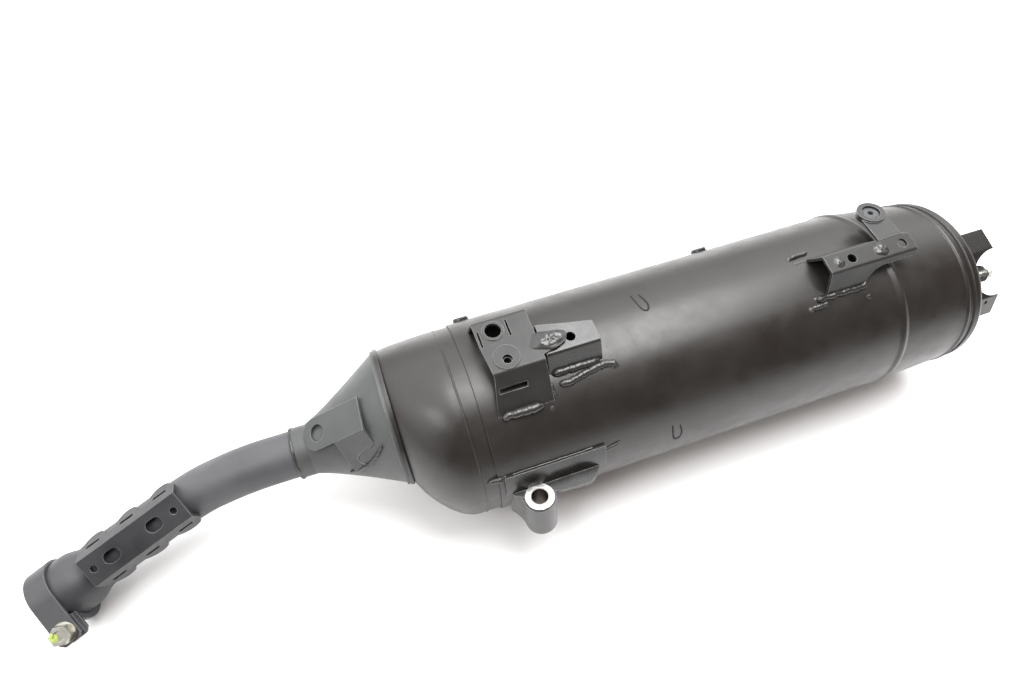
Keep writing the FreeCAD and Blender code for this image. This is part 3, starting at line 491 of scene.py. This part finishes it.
weld_bead("front_bracket", foot_line("front_bracket_plate", -301.5, -272.5, 48, 15), 2.9,
          ripple=0.08, pitch=3.4, seed=1)
weld_bead("front_bracket_edge", can_line([(-264.2, 20), (-264.0, 24), (-263.6, 28.5)]), 1.2, seed=11)
weld_bead("channel", foot_line("front_bracket_channel", -262.0, -228.0, 36, 8), 2.9,
          ripple=0.10, pitch=4.2, seed=2)
CHANNEL_RUN = [(-259, 22), (-250, 22.3), (-238, 20), (-228, 18.6), (-220, 19.4), (-217, 21)]
weld_bead("channel_run", can_line(CHANNEL_RUN), 2.7, ripple=0.12, pitch=4.4, seed=12)
weld_bead("rear_bracket", foot_line("rear_bracket", -65.0, -22.0, 45, 8), 2.5, ripple=0.05, pitch=4.2, seed=3)
weld_bead("rear_bracket_tip", can_line([(-71, 24.5), (-66, 24), (-56, 23.8)]), 2.1, ripple=0.12, seed=13)
weld_bead("rear_bracket_back", can_line([(-67, -9.5), (-59, -10), (-51, -10.5)]), 1.9, seed=4)
weld_bead("lower_left", can_line([(-321.5, 65.5), (-316, 65), (-309.5, 64.5)]), 2.1, ripple=0.10, seed=14)
weld_bead("lower_right", can_line([(-240, 69), (-233, 67.5), (-226.5, 66)]), 1.2, seed=15)
weld_bead("lower_top", foot_line("lower_bracket", -305, -246, 50, 75), 0.8, seed=16)
weld_bead("lower_bottom", foot_line("lower_bracket", -300, -242, 110, 60), 1.5, seed=17)
weld_bead("pipe_neck", circle(at(-441.2, 12.8, 1.2), ALONG, 17.7), 1.4, closed=True, seed=5)
weld_bead("tail_pipe", circle(at(68.3, 4, -14), ALONG, 19.4), 1.6, closed=True, seed=6)
CONE_FOOT = [(-407.7, -15.3, 5.5), (-400, -19.2, 11.5), (-392.7, -22.1, 19.5), (-384, -21.5, 31.0),
             (-380.8, -17.8, 38.0)]
weld_bead("cone_bracket", [at(*point) for point in CONE_FOOT], 1.3, ripple=0.2, seed=7)
seam("seam_dome", -324.5, 0, 0, 68.55, 0.75, BODY_PAINT, 8)
# The tail seam's ring is near-black painted shade in its groove.
seam("seam_tail", 62.2, -3.7, 0.9, 64.95, 0.55, GROOVE_SHADE, 9)

weld_on("front_bracket_plate", at(-259.0, -2.0, 84.2), UP, 27, 14, 2.3, 21)
weld_on("rear_bracket", at(-47.0, -10.7, 85.3), radial(7.2), 9, 9, 1.1, 22)
weld_on("rear_bracket", at(-13.0, -10.7, 85.3), radial(7.2), 12, 10, 1.8, 23)
SPOTS = [(-239, 71, 4.5), (-309, 65, 5.0), (-268, 33, 4.0), (-25, 27, 4.5), (-219, 21.5, 5.5),
         (-71, 24.5, 4.5), (-67, -9.5, 5.0)]     # x in mm, phi, width in mm
for number, (x, phi, size) in enumerate(SPOTS):
    spot, normal = on_can(x, phi)
    puddle("weld_spot_%d" % number, CAN_TREE, spot, normal, ALONG, size, size * 0.9, 1.4, WELD_PAINT, number)

# A dab of marking paint on the left of the clamp bolt's head.
BOLT_OUT = Vector((-0.04, -0.44, 0.90)).normalized()
bolt_points = [v.co for v in NODES["clamp_bolt"].data.vertices]
bolt_top = max(p.dot(BOLT_OUT) for p in bolt_points)
bolt_face = [p for p in bolt_points if p.dot(BOLT_OUT) > bolt_top - 0.2 * MM]
bolt_middle = sum(bolt_face, Vector()) / len(bolt_face)
puddle("paint_dab", tree_of("clamp_bolt"), bolt_middle - ALONG * 4.3 * MM, BOLT_OUT, ALONG, 6.2, 7.0, 0.7,
       YELLOW, 5, body="clamp")

# ---------------------------------------------------------------- small marks pressed in the sheet, drawn in near-black painted groove shade
HAIRPIN = [(-187.2, -18.5), (-186.7, -13), (-186.0, -8), (-184.9, -4.9), (-182.8, -3.8), (-180.6, -4.6),
           (-179.4, -7.5), (-179.9, -12), (-181.6, -17.5)]     # x in mm, phi
for name, shift in (("mark_top", 0.0), ("mark_side", 85.5)):
    line = can_line([(x, phi + shift) for x, phi in HAIRPIN], -0.35)
    bead(name, line, 0.80, GROOVE_SHADE, slot="black_paint", ripple=0.0)

# ---------------------------------------------------------------- floor, light and camera
bm = bmesh.new()
bmesh.ops.create_grid(bm, x_segments=4, y_segments=4, size=6)
floor_mesh = bpy.data.meshes.new("floor")
bm.to_mesh(floor_mesh)
bm.free()
floor = bpy.data.objects.new("floor", floor_mesh)
bpy.context.scene.collection.objects.link(floor)
f = Finish("floor_white", (0.84, 0.84, 0.84), 0.7)
floor_mesh.materials.append(f.set(colour=f.mix(f.noise(3, 3), (0.83, 0.83, 0.83), (0.86, 0.86, 0.86))))


def room():
    """Surroundings: bright with a dim brown part in front, but plain pale where they are seen directly."""
    world = bpy.data.worlds.new("room")
    bpy.context.scene.world = world
    world.use_nodes = True
    nodes, links = world.node_tree.nodes, world.node_tree.links
    direction = nodes.new("ShaderNodeTexCoord").outputs["Generated"]

    def lean(vector, low, high, low_value, high_value):
        """A value that goes smoothly from one to another as a direction leans towards the vector."""
        dot = nodes.new("ShaderNodeVectorMath")
        dot.operation = "DOT_PRODUCT"
        dot.inputs[1].default_value = Vector(vector).normalized()
        links.new(direction, dot.inputs[0])
        spread = nodes.new("ShaderNodeMapRange")
        spread.interpolation_type = "SMOOTHSTEP"
        links.new(dot.outputs["Value"], spread.inputs["Value"])
        limits = {"From Min": low, "From Max": high, "To Min": low_value, "To Max": high_value}
        for key, value in limits.items():
            spread.inputs[key].default_value = value
        return spread.outputs["Result"]

    dark_side = lean((0.35, -0.88, 0.32), 0.12, 0.50, 0.0, 1.0)
    height = lean((0, 0, 1), 0.0, 0.60, 0.8, 3.1)
    mix = nodes.new("ShaderNodeMix")
    mix.data_type = "RGBA"
    # Inputs 0, 6 and 7 of a colour mix are its share and its two colours; output 2 is the colour.
    links.new(dark_side, mix.inputs[0])
    mix.inputs[6].default_value = (1.0, 1.0, 1.0, 1)
    mix.inputs[7].default_value = (0.055, 0.038, 0.030, 1)
    background = nodes["Background"]
    links.new(mix.outputs[2], background.inputs["Color"])
    links.new(height, background.inputs["Strength"])
    backdrop = nodes.new("ShaderNodeBackground")
    backdrop.inputs["Color"].default_value = (0.88, 0.88, 0.88, 1)
    choose = nodes.new("ShaderNodeMixShader")
    links.new(nodes.new("ShaderNodeLightPath").outputs["Is Camera Ray"], choose.inputs[0])
    links.new(background.outputs[0], choose.inputs[1])
    links.new(backdrop.outputs[0], choose.inputs[2])
    links.new(choose.outputs[0], nodes["World Output"].inputs["Surface"])


def softbox(name, target, direction, width, depth, watts):
    """A rectangular light aimed at a point on the can's axis; sizes in metres."""
    data = bpy.data.lights.new(name, "AREA")
    data.shape = "RECTANGLE"
    data.size = width
    data.size_y = depth
    data.energy = watts
    light = bpy.data.objects.new(name, data)
    back = direction.normalized()
    across = (ALONG - back * ALONG.dot(back)).normalized()
    turned = Matrix((across, back.cross(across), back)).transposed().to_4x4()
    light.matrix_world = Matrix.Translation(target + back * LIGHT_DISTANCE) @ turned
    bpy.context.scene.collection.objects.link(light)


room()
softbox("key", at(-150, 0, 0), Vector((0.27, 0.15, 0.95)), 0.60, 1.20, 27)
softbox("fill", at(-150, 0, 0), Vector((-0.55, -0.24, 0.80)), 0.60, 0.45, 5)
softbox("crown", at(-333, 0, 0), Vector((0.12, 0.03, 0.99)), 0.20, 0.50, 7)

# The camera was fitted to the can's rings and seams in the photograph.
camera_data = bpy.data.cameras.new("camera")
camera_data.lens = 24.01
camera_data.sensor_width = 36
camera_data.clip_start = 0.01
camera = bpy.data.objects.new("camera", camera_data)
bpy.context.scene.collection.objects.link(camera)
right = Vector((0.9446, -0.3281, 0.0)).normalized()
forward = Vector((0.1666, 0.4795, -0.8616)).normalized()
up = right.cross(forward).normalized()
turn = Matrix((right, up, -forward)).transposed().to_4x4()
camera.matrix_world = Matrix.Translation(at(-354.8, -207.6, 464.3)) @ turn
bpy.context.scene.camera = camera
bpy.context.scene.view_settings.view_transform = "Standard"

bpy.context.view_layer.update()
